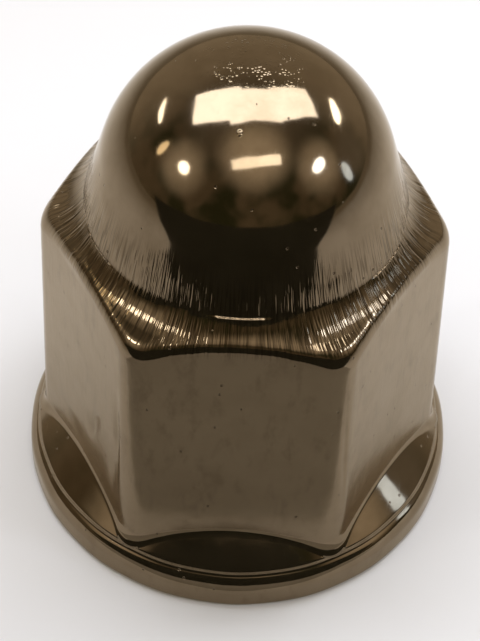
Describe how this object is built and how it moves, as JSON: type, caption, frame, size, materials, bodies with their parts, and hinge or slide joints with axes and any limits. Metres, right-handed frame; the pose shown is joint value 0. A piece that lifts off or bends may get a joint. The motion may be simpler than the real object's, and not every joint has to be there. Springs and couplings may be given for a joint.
{
  "type": "lug nut",
  "caption": "Closed-end dome-top wheel nut with a hex body, sloping shoulder, flared round flange and a blind threaded hole.",
  "frame": {"origin": "centre of the flat bearing face, on the thread axis", "axes": "+Z along the thread axis from the bearing face up to the dome; hex flats face -Y and +Y, hex corners on the X axis"},
  "size_m": [0.0232, 0.0232, 0.0284],
  "materials": {
    "plated_steel": "polished, slightly smoky nickel-chrome plating with fine forming scratches"
  },
  "bodies": {
    "root": {"lug_nut": "plated_steel"}
  },
  "joints": []
}
